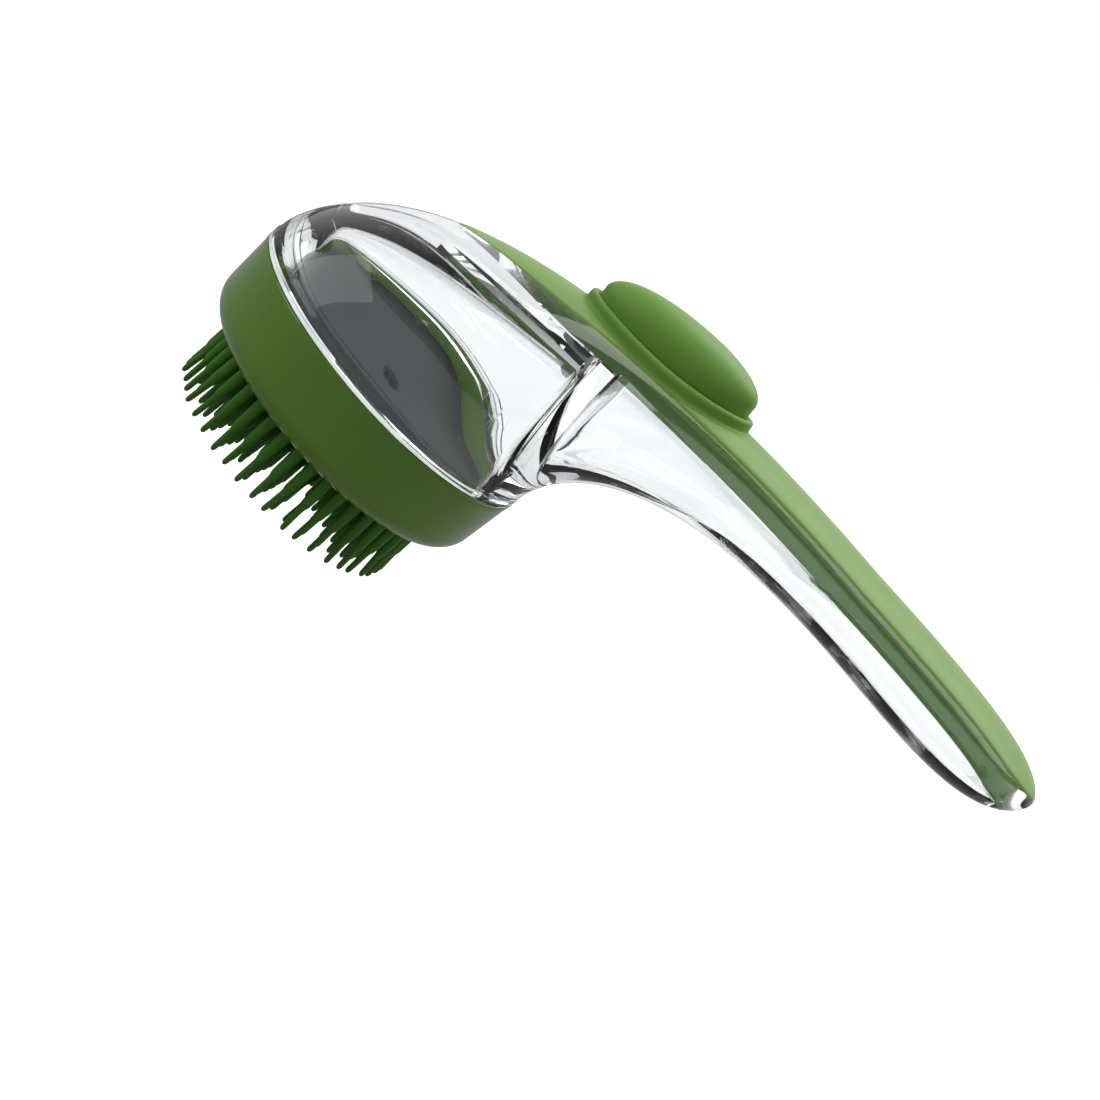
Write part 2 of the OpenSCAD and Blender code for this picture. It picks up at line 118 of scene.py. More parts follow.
class Bench:
    """Modelling steps as done by hand: a primitive, edit mode operators, applied modifiers."""

    @staticmethod
    def only(obj: bpy.types.Object) -> None:
        """Selects one object and makes it active."""
        bpy.ops.object.select_all(action="DESELECT")
        obj.select_set(True)
        bpy.context.view_layer.objects.active = obj

    @staticmethod
    def edit(obj: bpy.types.Object) -> bmesh.types.BMesh:
        """Enters edit mode with nothing selected and returns the edit mesh."""
        Bench.only(obj)
        bpy.ops.object.mode_set(mode="EDIT")
        bpy.ops.mesh.select_mode(type="VERT")
        bpy.ops.mesh.select_all(action="DESELECT")
        return bmesh.from_edit_mesh(obj.data)

    @staticmethod
    def done() -> None:
        """Leaves edit mode."""
        bpy.ops.object.mode_set(mode="OBJECT")

    @staticmethod
    def outward(obj: bpy.types.Object) -> None:
        """Merges doubles and turns every face outwards."""
        Bench.edit(obj)
        bpy.ops.mesh.select_all(action="SELECT")
        bpy.ops.mesh.remove_doubles(threshold=1e-7)
        bpy.ops.mesh.normals_make_consistent(inside=False)
        Bench.done()

    @staticmethod
    def loft(name: str, rings: Sequence[Sequence[Vector]], hoop: bool = False) -> bpy.types.Object:
        """Extrudes a circle from ring to ring.

        Args:
            name: The piece's name.
            rings: Rings of equally many points, in metres.
            hoop: Joins the last ring to the first; otherwise both ends are closed with a face.

        Returns:
            The closed shell.
        """
        bpy.ops.object.select_all(action="DESELECT")
        bpy.ops.mesh.primitive_circle_add(vertices=len(rings[0]), radius=1)
        obj = bpy.context.object
        obj.name = obj.data.name = name
        for v in obj.data.vertices:
            v.co = rings[0][v.index]
        bpy.ops.object.mode_set(mode="EDIT")
        bpy.ops.mesh.select_mode(type="EDGE")
        bpy.ops.mesh.select_all(action="SELECT")
        if not hoop:
            bpy.ops.mesh.edge_face_add()
        place = {k: k for k in range(len(rings[0]))}
        for ring in rings[1:]:
            bpy.ops.mesh.extrude_edges_indiv()
            bm = bmesh.from_edit_mesh(obj.data)
            bm.verts.index_update()
            fresh = {}
            for v in (v for v in bm.verts if v.select):
                k = next(place[o.index] for o in (e.other_vert(v) for e in v.link_edges) if o.index in place)
                fresh[v.index] = k
                v.co = ring[k]
            place = fresh
        if hoop:
            bm = bmesh.from_edit_mesh(obj.data)
            for edge in bm.edges:
                edge.select_set(edge.is_boundary)
            bpy.ops.mesh.bridge_edge_loops()
        else:
            bpy.ops.mesh.edge_face_add()
        Bench.done()
        Bench.outward(obj)
        return obj

    @staticmethod
    def sheet(name: str, along: int, across: int, place: Place) -> bpy.types.Object:
        """Lays a grid on a surface.

        Args:
            name: The piece's name.
            along: Faces along the first direction.
            across: Faces along the second direction.
            place: Gives the point in metres for two fractions from 0 to 1.

        Returns:
            The open sheet.
        """
        bpy.ops.object.select_all(action="DESELECT")
        bpy.ops.mesh.primitive_grid_add(x_subdivisions=along, y_subdivisions=across, size=2)
        obj = bpy.context.object
        obj.name = obj.data.name = name
        for v in obj.data.vertices:
            v.co = place((v.co.x + 1) / 2, (v.co.y + 1) / 2)
        return obj

    @staticmethod
    def wall(name: str, along: int, across: int, outer: Place, inner: Place) -> bpy.types.Object:
        """Joins two sheets by their edges into a closed wall.

        Args:
            name: The piece's name.
            along: Faces along the first direction.
            across: Faces along the second direction.
            outer: Gives the outer surface, as for a sheet.
            inner: Gives the inner surface.

        Returns:
            The closed wall.
        """
        sheets = [Bench.sheet(name, along, across, place) for place in (outer, inner)]
        obj = Bench.join(name, sheets)
        bm = Bench.edit(obj)
        bpy.ops.mesh.select_mode(type="EDGE")
        for edge in bm.edges:
            edge.select_set(edge.is_boundary)
        bpy.ops.mesh.bridge_edge_loops()
        Bench.done()
        Bench.outward(obj)
        return obj

    @staticmethod
    def spin(name: str, outline: Sequence[Pair], centre: Vector, steps: int = 128) -> bpy.types.Object:
        """Turns a closed outline of (radius, height) points in millimetres about the vertical.

        Args:
            name: The piece's name.
            outline: The outline's points, in order.
            centre: The point on the axis at height 0, in metres.
            steps: Faces round the axis.

        Returns:
            The closed ring.
        """
        bpy.ops.object.select_all(action="DESELECT")
        bpy.ops.mesh.primitive_circle_add(vertices=len(outline), radius=1)
        obj = bpy.context.object
        obj.name = obj.data.name = name
        for v in obj.data.vertices:
            r, z = outline[v.index]
            v.co = centre + Vector((r, 0, z)) * MM
        Bench.edit(obj)
        bpy.ops.mesh.select_all(action="SELECT")
        bpy.ops.mesh.spin(steps=steps, angle=2 * math.pi, center=centre, axis=(0, 0, 1))
        Bench.done()
        Bench.outward(obj)
        return obj

    @staticmethod
    def cut(obj: bpy.types.Object, *tools: bpy.types.Object, keep: bool = False) -> None:
        """Cuts tools out of a piece and removes them."""
        for tool in tools:
            Bench.only(obj)
            cutter = obj.modifiers.new("cut", "BOOLEAN")
            cutter.operation = "DIFFERENCE"
            cutter.solver = "EXACT"
            cutter.object = tool
            bpy.ops.object.modifier_apply(modifier=cutter.name)
            if not keep:
                bpy.data.objects.remove(tool)

    @staticmethod
    def smooth(obj: bpy.types.Object, angle: float) -> None:
        """Shades smooth, with edges sharper than an angle in degrees kept crisp."""
        Bench.only(obj)
        bpy.ops.object.shade_smooth_by_angle(angle=math.radians(angle))

    @staticmethod
    def join(name: str, parts: Sequence[bpy.types.Object]) -> bpy.types.Object:
        """Joins pieces into one object."""
        bpy.ops.object.select_all(action="DESELECT")
        for part in parts:
            part.select_set(True)
        bpy.context.view_layer.objects.active = parts[0]
        bpy.ops.object.join()
        parts[0].name = parts[0].data.name = name
        return parts[0]


# ---------------------------------------------------------------------------------------------
# Finishes
# ---------------------------------------------------------------------------------------------


def rgb(red: int, green: int, blue: int) -> Colour:
    """Turns a display colour of 0 to 255 into the linear values that shaders take."""

    def linear(value: int) -> float:
        share = value / 255
        return share / 12.92 if share <= 0.04045 else ((share + 0.055) / 1.055) ** 2.4

    return linear(red), linear(green), linear(blue)


def feed(tree: bpy.types.NodeTree, node: bpy.types.Node, inputs: dict[str | int, object]) -> None:
    """Sets the inputs of a node, and links those whose value is another node's output."""
    for key, value in inputs.items():
        if isinstance(value, bpy.types.NodeSocket):
            tree.links.new(value, node.inputs[key])
        else:
            node.inputs[key].default_value = value


def add_node(
    tree: bpy.types.NodeTree, kind: str, inputs: dict[str | int, object], operation: str = ""
) -> bpy.types.Node:
    """Places a shader node.

    Args:
        tree: The tree that it goes in.
        kind: Its type, without the leading ShaderNode.
        inputs: Values or links for its inputs.
        operation: Its operation, where it has one.

    Returns:
        The node.
    """
    node = tree.nodes.new(f"ShaderNode{kind}")
    if operation:
        node.operation = operation
    feed(tree, node, inputs)
    return node


class Groups:
    """Shared node groups, each built once."""

    @staticmethod
    def _new(name: str, inputs: dict[str, tuple[str, object]], outputs: dict[str, str]) -> bpy.types.NodeTree:
        """An empty group with named sockets.

        Args:
            name: The group's name.
            inputs: Socket type and default value for each input.
            outputs: Socket type for each output.

        Returns:
            The node tree, with its input and output nodes.
        """
        tree = bpy.data.node_groups.new(name, "ShaderNodeTree")
        for key, (kind, value) in inputs.items():
            sock = tree.interface.new_socket(key, in_out="INPUT", socket_type=kind)
            sock.default_value = value
        for key, kind in outputs.items():
            tree.interface.new_socket(key, in_out="OUTPUT", socket_type=kind)
        tree.nodes.new("NodeGroupInput").name = "In"
        tree.nodes.new("NodeGroupOutput").name = "Out"
        return tree

    @staticmethod
    def _noise(tree: bpy.types.NodeTree, scale: float, detail: float) -> bpy.types.NodeSocket:
        """Noise on the object's own coordinates, scale in cells per metre."""
        coords = add_node(tree, "TexCoord", {})
        noise = add_node(
            tree, "TexNoise", {"Scale": scale, "Detail": detail, "Vector": coords.outputs["Object"]}
        )
        return noise.outputs["Fac"]

    @staticmethod
    def mottle() -> bpy.types.NodeTree:
        """Slight cloudiness of a moulded colour, with a fine moulded grain.

        Returns:
            A group with Colour, Roughness and Height outputs.
        """
        known = bpy.data.node_groups.get("Moulded colour")
        if known:
            return known
        colour, number = "NodeSocketColor", "NodeSocketFloat"
        tree = Groups._new(
            "Moulded colour",
            {"Colour": (colour, (0.5, 0.5, 0.5, 1)), "Cloud": (number, 0.08), "Roughness": (number, 0.4)},
            {"Colour": colour, "Roughness": number, "Height": number},
        )
        given, out = tree.nodes["In"].outputs, tree.nodes["Out"]
        clouds_per_metre, grains_per_metre = 90, 5200
        low = add_node(tree, "Math", {0: 1, 1: given["Cloud"]}, "SUBTRACT")
        high = add_node(tree, "Math", {0: 1, 1: given["Cloud"]}, "ADD")
        spread = add_node(tree, "MapRange", {
            "Value": Groups._noise(tree, clouds_per_metre, 4), "From Min": 0.3, "From Max": 0.7,
            "To Min": low.outputs[0], "To Max": high.outputs[0],
        }).outputs["Result"]
        tint = add_node(tree, "VectorMath", {0: given["Colour"], "Scale": spread}, "SCALE")
        rough = add_node(tree, "Math", {0: given["Roughness"], 1: spread}, "MULTIPLY")
        feed(tree, out, {
            "Colour": tint.outputs["Vector"], "Roughness": rough.outputs[0],
            "Height": Groups._noise(tree, grains_per_metre, 2),
        })
        return tree

    @staticmethod
    def scratches() -> bpy.types.NodeTree:
        """Sparse hairline scratches in two directions.

        Returns:
            A group with a Mask output, 1 in a scratch.
        """
        known = bpy.data.node_groups.get("Hairline scratches")
        if known:
            return known
        number = "NodeSocketFloat"
        tree = Groups._new(
            "Hairline scratches", {"Scale": (number, 60.0), "Amount": (number, 0.5)}, {"Mask": number}
        )
        given, out = tree.nodes["In"].outputs, tree.nodes["Out"]
        coords = add_node(tree, "TexCoord", {})
        masks = []
        for turn, stretch in ((0.7, 9.0), (2.1, 7.0)):
            mapping = add_node(tree, "Mapping", {
                "Rotation": (turn, turn * 0.6, turn * 1.7), "Scale": (1, stretch, 1),
                "Vector": coords.outputs["Object"],
            })
            cells = add_node(tree, "TexVoronoi", {})
            cells.feature = "DISTANCE_TO_EDGE"
            feed(tree, cells, {"Vector": mapping.outputs["Vector"], "Scale": given["Scale"]})
            thin = add_node(tree, "MapRange", {
                "Value": cells.outputs["Distance"], "From Min": 0.0, "From Max": 0.012,
                "To Min": 1.0, "To Max": 0.0,
            })
            patch = Groups._noise(tree, 120, 1)
            gate = add_node(tree, "Math", {0: patch, 1: given["Amount"]}, "GREATER_THAN")
            both = add_node(tree, "Math", {0: thin.outputs["Result"], 1: gate.outputs[0]}, "MULTIPLY")
            masks.append(both.outputs[0])
        most = add_node(tree, "Math", {0: masks[0], 1: masks[1]}, "MAXIMUM")
        feed(tree, out, {"Mask": most.outputs[0]})
        return tree


@dataclass(frozen=True)
class Finish:
    """A named material that is built once."""

    name: str

    def material(self) -> bpy.types.Material:
        """Builds the material, or finds it if it exists.

        Returns:
            The material.
        """
        look = bpy.data.materials.get(self.name)
        if look is None:
            look = bpy.data.materials.new(self.name)
            look.use_nodes = True
            self._wire(look.node_tree, look.node_tree.nodes["Principled BSDF"])
        return look

    def _wire(self, tree: bpy.types.NodeTree, shader: bpy.types.Node) -> None:
        """Sets up the shader; each kind of finish has its own way."""
        raise NotImplementedError

    @staticmethod
    def _mottled(tree: bpy.types.NodeTree, inputs: dict[str | int, object]) -> bpy.types.Node:
        """Places the shared group for moulded colour."""
        body = tree.nodes.new("ShaderNodeGroup")
        body.node_tree = Groups.mottle()
        feed(tree, body, inputs)
        return body

    @staticmethod
    def _bump(
        tree: bpy.types.NodeTree, height: bpy.types.NodeSocket, strength: float, depth: float
    ) -> bpy.types.NodeSocket:
        """Turns a height into a normal, with the depth in millimetres."""
        bump = add_node(tree, "Bump", {"Strength": strength, "Distance": depth * MM, "Height": height})
        return bump.outputs["Normal"]


@dataclass(frozen=True)
class Moulded(Finish):
    """A moulded plastic or rubber finish, from soft touch to high gloss."""

    colour: Colour
    roughness: float
    coat: float = 0.0
    cloud: float = 0.05
    grain: float = 0.02
    specular: float = 0.5
    subsurface: float = 0.0

    def _wire(self, tree: bpy.types.NodeTree, shader: bpy.types.Node) -> None:
        """Clouded colour under an optional clear coat."""
        body = self._mottled(
            tree, {"Colour": (*self.colour, 1), "Cloud": self.cloud, "Roughness": self.roughness}
        )
        feed(tree, shader, {
            "Coat Weight": self.coat, "Coat Roughness": 0.06, "Specular IOR Level": self.specular,
            "Subsurface Weight": self.subsurface, "Subsurface Radius": (0.6, 1.0, 0.3),
            "Subsurface Scale": 1.2 * MM,
            "Base Color": body.outputs["Colour"], "Roughness": body.outputs["Roughness"],
            "Normal": self._bump(tree, body.outputs["Height"], 0.6, self.grain),
        })


@dataclass(frozen=True)
class Clear(Finish):
    """Thick clear plastic with hairline scratches."""

    tint: Colour
    ior: float = 1.49
    scratched: float = 0.2

    def _wire(self, tree: bpy.types.NodeTree, shader: bpy.types.Node) -> None:
        """Smooth glass, rougher in its scratches."""
        marks = tree.nodes.new("ShaderNodeGroup")
        marks.node_tree = Groups.scratches()
        feed(tree, marks, {"Scale": 90, "Amount": 0.6})
        mask = marks.outputs["Mask"]
        rough = add_node(tree, "Math", {0: mask, 1: self.scratched}, "MULTIPLY")
        feed(tree, shader, {
            "Transmission Weight": 1.0, "IOR": self.ior, "Base Color": (*self.tint, 1),
            "Roughness": rough.outputs[0], "Normal": self._bump(tree, mask, 0.25, 0.02),
        })


@dataclass(frozen=True)
class Wire(Finish):
    """Drawn spring wire."""

    colour: Colour

    def _wire(self, tree: bpy.types.NodeTree, shader: bpy.types.Node) -> None:
        """Bright metal with a slight cloud."""
        body = self._mottled(tree, {"Colour": (*self.colour, 1), "Roughness": 0.3})
        feed(tree, shader, {
            "Metallic": 1.0, "Base Color": body.outputs["Colour"], "Roughness": body.outputs["Roughness"],
        })


class Look(Enum):
    """The finishes of the brush."""

    CLEAR = Clear("clear plastic", (0.95, 0.97, 0.975))
    GRIP = Moulded("grip strip rubber", (0.18, 0.36, 0.04), 0.42, grain=0.02, cloud=0.04)
    BUTTON = Moulded("button rubber", (0.165, 0.37, 0.035), 0.45, grain=0.02, cloud=0.03)
    COVER = Moulded("cover plastic", (0.11, 0.27, 0.03), 0.25, coat=0.3)
    COLLAR = Moulded("collar plastic", (0.13, 0.28, 0.014), 0.15, coat=0.4, grain=0.005)
    # Painted light: the collar's inner face gets a much brighter copy of the collar green, standing in for light
    # that the clear wall keeps from it.
    LINER = Moulded("collar inside painted light", (0.5, 0.95, 0.1), 0.4)
    BRISTLE = Moulded("bristle rubber", (0.06, 0.22, 0.012), 0.45, cloud=0.08, specular=0.35, subsurface=0.1)
    FLOOR = Moulded("floor plastic", (0.018, 0.03, 0.036), 0.5, specular=0.15)
    PUMP = Moulded("pump plastic", rgb(225, 226, 222), 0.35)
    SEAL = Moulded("seal rubber", rgb(70, 72, 74), 0.6)
    SILICONE = Moulded("valve silicone", rgb(200, 204, 206), 0.4, subsurface=0.3)
    WIRE = Wire("spring wire", (0.55, 0.55, 0.57))


def settle(
    obj: bpy.types.Object, crisp: float, body: Body, slot: str, look: Look, *nodes: str
) -> bpy.types.Object:
    """Shades a finished piece and gives it its material and its body.

    Args:
        obj: The piece.
        crisp: Edges sharper than this many degrees stay crisp.
        body: The body it rides on.
        slot: The record's material slot; not used.
        look: The finish.
        nodes: The frame's nodes that it stands for.

    Returns:
        The piece.
    """
    Bench.smooth(obj, crisp)
    obj.data.materials.clear()
    obj.data.materials.append(look.value.material())
    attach(obj, body.value)
    if nodes:
        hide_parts(*nodes)
    LOG.info("%s: %d faces", obj.name, len(obj.data.polygons))
    return obj


# ---------------------------------------------------------------------------------------------
# Shape of the skin
# ---------------------------------------------------------------------------------------------


@dataclass
class Skin:
    """The outer surface that the clear body, the grip strip and the cover share.

    Sizes are in millimetres from the middle of the rim, with X along the handle.
    """

    origin: Vector
    rim_r: float = 33.0
    handle_half_w: float = 13.5
    strip_half_w: float = 10.0
    strip_tip_x: float = -12.0
    tip_run: float = 24.0
    strip_t: float = 1.8
    end: float = 1.985
    hollow_points: int = 104
    corner_draw: float = 0.85

    def top(self, s: float) -> Vector:
        """The crown in side view, s from 0 at the head's rim to 2 at the handle's end."""
        if s <= 1:
            return bezier(((-self.rim_r, 0), (-self.rim_r, 3.2), (-30.8, 42.1), (84, 43.4)), s)
        return bezier(((84, 43.4), (108, 44.4), (128, 45), (133, 39.7)), s - 1)

    def under(self, s: float) -> Vector:
        """The underside in side view."""
        if s <= 1:
            return bezier(((self.rim_r, 0), (self.rim_r, 1.1), (29.7, 26.7), (90, 28)), s)
        return bezier(((90, 28), (108, 28.3), (131, 26.5), (133, 39.7)), s - 1)

    def half_w(self, s: float) -> float:
        """Half the width of the section at s."""
        if s > 1:
            return self.handle_half_w * math.sqrt(max(0.0, 1 - (s - 1) ** 5))
        share = (1 + math.cos(math.pi * min(1, (s / 0.88) ** 1.6))) / 2
        return self.handle_half_w + (self.rim_r - self.handle_half_w) * share

    def strip_w(self, s: float) -> float:
        """Half the width of the grip strip at s: pointed at the front, rounded at the rear."""
        run = min(1.0, max(1e-4, (self.top(s).x - self.strip_tip_x) / self.tip_run))
        return min(self.strip_half_w * math.sin(math.pi / 2 * run**0.8), 0.8 * self.half_w(s))

    def ring(self, s: float, count: int) -> list[Vector]:
        """One oval section.

        Args:
            s: Position along the skin.
            count: Points in the ring.

        Returns:
            The section's points, in metres.
        """
        top, under = self.top(s), self.under(s)
        middle, half = (top + under) / 2, (top - under) / 2
        wide = self.half_w(s)
        return [
            self.at(middle.x + half.x * math.cos(a), wide * math.sin(a), middle.y + half.y * math.cos(a))
            for a in (2 * math.pi * k / count for k in range(count))
        ]

    def half_w_at(self, x: float, z: float) -> float:
        """Half the width of the body at a point of the side view, found by halving."""
        low, high = 0.0, self.end
        for _ in range(24):
            s = (low + high) / 2
            top, under = self.top(s), self.under(s)
            if (top.x - under.x) * (z - under.y) < (top.y - under.y) * (x - under.x):
                low = s
            else:
                high = s
        top, under = self.top(low), self.under(low)
        way = top - under
        share = 2 * ((x - under.x) * way.x + (z - under.y) * way.y) / way.length_squared - 1
        return self.half_w(low) * math.sqrt(max(0.0, 1 - share * share))

    def box_ring(
        self, roof: Vector, foot: Vector, wide: Width, powers: Pair, inset: float = 0.0
    ) -> list[Vector]:
        """One section of a hollow with upright sides.

        Args:
            roof: Its highest point in the side view.
            foot: Its lowest point.
            wide: Gives its half width at a point of the side view.
            powers: Squareness of its upper and of its lower corners, 2 for an oval.
            inset: Distance by which the whole section shrinks.

        Returns:
            The section's points, in metres.
        """
        middle, half = (roof + foot) / 2, (roof - foot) / 2
        shrink = max(0.02, 1 - inset / half.length)
        ring = []
        for k in range(self.hollow_points):
            t = 2 * math.pi * k / self.hollow_points
            a = t - self.corner_draw * math.sin(4 * t) / 4
            power = powers[0] if math.cos(a) >= 0 else powers[1]
            up = math.copysign(abs(math.cos(a)) ** (2 / power), math.cos(a))
            side = math.copysign(abs(math.sin(a)) ** (2 / power), math.sin(a))
            place = middle + half * up
            spot = middle + half * up * shrink
            ring.append(self.at(spot.x, side * max(0.1, wide(place.x, place.y) - inset), spot.y))
        return ring

    def at(self, x: float, y: float, z: float) -> Vector:
        """A point given in millimetres from the middle of the rim, in the frame's metres."""
        return self.origin + Vector((x, y, z)) * MM

    def local(self, s: float, y: float, depth: float) -> Vector:
        """A point of the skin moved in along the crown's normal, in millimetres."""
        top, under = self.top(s), self.under(s)
        middle, half = (top + under) / 2, (top - under) / 2
        high = math.sqrt(max(0.0, 1 - (y / self.half_w(s)) ** 2))
        run = (self.top(s + 0.001) - self.top(s - 0.001)).normalized()
        if depth > self.strip_t:
            taper = min(1.0, 0.3 + 0.7 * (top.x - self.strip_tip_x) / self.tip_run)
            depth = self.strip_t + (depth - self.strip_t) * taper
        return Vector(
            (middle.x + half.x * high + run.y * depth, y, middle.y + half.y * high - run.x * depth)
        )

    def skin(self, s: float, y: float, depth: float = 0.0) -> Vector:
        """The same point in the frame's metres."""
        return self.at(*self.local(s, y, depth))

    def height(self, x: float, y: float) -> float:
        """Height of the upper surface over a place, found by halving."""
        low, high = 0.3, 1.2
        for _ in range(24):
            s = (low + high) / 2
            if self.local(s, y, 0).x < x:
                low = s
            else:
                high = s
        return self.local(low, y, 0).z


# ---------------------------------------------------------------------------------------------
# Sub-assemblies
# ---------------------------------------------------------------------------------------------


@dataclass
class ClearBody:
    """The clear moulding: reservoir dome, partition, neck and open-topped handle."""

    skin: Skin
    points: int = 96
    skirt_r: float = 29.3
    skirt_h: float = 7.5
    flange_h: float = 1.2
    mouth_r: float = 27.0
    partition_x: float = 29.0
    partition_t: float = 2.4
    partition_lean: float = math.radians(7)
    handle_wall: float = 2.6
    skirt_depth: float = 4.9
    chamber_wall: float = 3.2
    end_r: float = 1.8
    roof: tuple[Pair, ...] = ((-28, 0), (-27, 14), (-14, 22.5), (26, 28.6))
    roof_span: Pair = (0.11, 0.985)
    trough_roof: float = 4.4
    trough_floor: Pair = (4.2, 3.0)
    trough_end: float = 1.82
    trough_r: float = 1.4

    def _circle(self, radius: float, z: float, count: int) -> list[Vector]:
        """A level ring about the head's axis that starts at the front, like the skin's rings."""
        return [
            self.skin.at(-radius * math.cos(a), radius * math.sin(a), z)
            for a in (2 * math.pi * k / count for k in range(count))
        ]

    def _outside(self) -> bpy.types.Object:
        """The outer form with its rim flange and the skirt that enters the collar."""
        r, low = self.skin.rim_r, -self.skirt_h
        lower = (
            (self.skirt_r - 0.3, low), (self.skirt_r, low + 0.3), (self.skirt_r, 0), (r - 0.2, 0),
            (r, 0.2), (r, self.flange_h - 0.3), (r - 0.25, self.flange_h),
        )
        rings = [self._circle(radius, z, self.points) for radius, z in lower]
        first, turn = 0.13, 1.04
        rings += [self.skin.ring(first + (turn - first) * j / 90, self.points) for j in range(91)]
        rest = self.skin.end - turn
        rings += [
            self.skin.ring(turn + rest * math.sin(math.pi / 2 * j / 40), self.points) for j in range(1, 41)
        ]
        return Bench.loft("clear_shell", rings)

    def _ease(self, count: int) -> list[float]:
        """Fractions from 0 to 1 that lie closer together at both ends."""
        return [(1 - math.cos(math.pi * j / count)) / 2 for j in range(count + 1)]

    def _rounding(self, radius: float) -> list[Pair]:
        """Steps of a rounded end: how far short of it, and how far in."""
        turns = [math.pi / 2 * j / 6 for j in range(7)]
        return [(radius * (1 - math.sin(a)), radius * (1 - math.cos(a))) for a in turns]

    def _chamber_w(self, x: float, z: float) -> float:
        """Half the width of the reservoir at a point of the side view."""
        front, rear = (self.mouth_r, 2.0), (self.mouth_r + 3.5, 3.2)
        reach, power = front if x < 0 else rear
        plan = self.mouth_r * max(0.0, 1 - (abs(x) / reach) ** power) ** (1 / power)
        skin = max(0.1, self.skin.half_w_at(x, max(z, 0.5)) - self.chamber_wall)
        return (max(plan, 0.1) ** -10 + skin**-10) ** -0.1

    def _reservoir(self) -> list[bpy.types.Object]:
        """The round mouth, and the chamber over it with its flat partition at the rear."""
        mouth = [self._circle(self.mouth_r, z, 128) for z in (-self.skirt_h - 1, -0.7)]
        start, stop = self.roof_span
        corners, foot_z = (6, 16), -1
        last = bezier(self.roof, stop)
        rear = Vector((last.x + (last.y - foot_z) * math.tan(self.partition_lean), foot_z))
        rings = []
        for u in self._ease(64):
            roof = bezier(self.roof, start + (stop - start) * u) - Vector((self.end_r * u, 0))
            foot = Vector((-self.mouth_r + (rear.x - self.end_r + self.mouth_r) * u, foot_z))
            rings.append(self.skin.box_ring(roof, foot, self._chamber_w, corners))
        for short, inset in self._rounding(self.end_r)[1:]:
            shift = Vector((short, 0))
            rings.append(self.skin.box_ring(last - shift, rear - shift, self._chamber_w, corners, inset))
        return [Bench.loft("mouth", mouth), Bench.loft("chamber", rings)]

    def _trough_w(self, x: float, z: float) -> float:
        """Half the width of the handle's trough at a point of the side view."""
        return max(0.1, self.skin.half_w_at(x, z) - self.handle_wall)

    def _trough_roof(self, s: float) -> Vector:
        """The trough's upper limit, under the crown of the skin."""
        ahead = (self.skin.top(s + 0.001) - self.skin.top(s - 0.001)).normalized()
        return self.skin.top(s) + Vector((ahead.y, -ahead.x)) * self.trough_roof

    def _trough_foot(self, s: float) -> Vector:
        """The trough's floor, over a wall that is thicker at the neck."""
        ahead = (self.skin.under(s + 0.001) - self.skin.under(s - 0.001)).normalized()
        neck, handle = self.trough_floor
        thick = neck - (neck - handle) * min(1.0, max(0.0, s - 0.4) / 0.5)
        return self.skin.under(s) + Vector((-ahead.y, ahead.x)) * thick

    def _hollow(self) -> bpy.types.Object:
        """The trough of the handle, which reaches down behind the partition."""
        slope = math.tan(self.partition_lean)

        def crossing(curve: Callable[[float], Vector]) -> float:
            """Where a curve comes out of the back of the partition."""
            low, high = 0.2, 1.0
            for _ in range(30):
                s = (low + high) / 2
                point = curve(s)
                ahead = point.x + slope * point.y > self.partition_x + self.partition_t
                low, high = (low, s) if ahead else (s, high)
            return low

        roof, foot = self._trough_roof, self._trough_foot
        first = crossing(roof), crossing(foot)
        rings = []
        for short, inset in reversed(self._rounding(self.trough_r)[1:]):
            shift = Vector((short, 0))
            upper, lower = roof(first[0]) + shift, foot(first[1]) + shift
            rings.append(self.skin.box_ring(upper, lower, self._trough_w, (4, 4), inset))
        for j in range(1, 71):
            u = j / 70
            upper, lower = (s + (self.trough_end - s) * u for s in first)
            power = 4 - 1.2 * min(1.0, 2 * u)
            rings.append(self.skin.box_ring(roof(upper), foot(lower), self._trough_w, (power, power)))
        return Bench.loft("hollow", rings)

    def _pocket(self) -> bpy.types.Object:
        """The recess that takes the cover and the grip strip."""
        skin, first, last, clearance = self.skin, 0.557, 1.935, 0.12

        def layer(depth: float) -> Place:
            def place(u: float, v: float) -> Vector:
                s = first + (last - first) * u
                return skin.skin(s, (skin.strip_w(s) + clearance) * (2 * v - 1), depth)

            return place

        return Bench.wall("pocket", 150, 20, layer(-2), layer(self.skirt_depth))

    def build(self) -> bpy.types.Object:
        """Makes the clear body and dresses it.

        Returns:
            The finished piece.
        """
        shell = self._outside()
        Bench.cut(shell, *self._reservoir(), self._hollow(), self._pocket())
        Bench.outward(shell)
        return settle(shell, 32, Body.HANDLE, "clear_shell", Look.CLEAR, "clear_body")


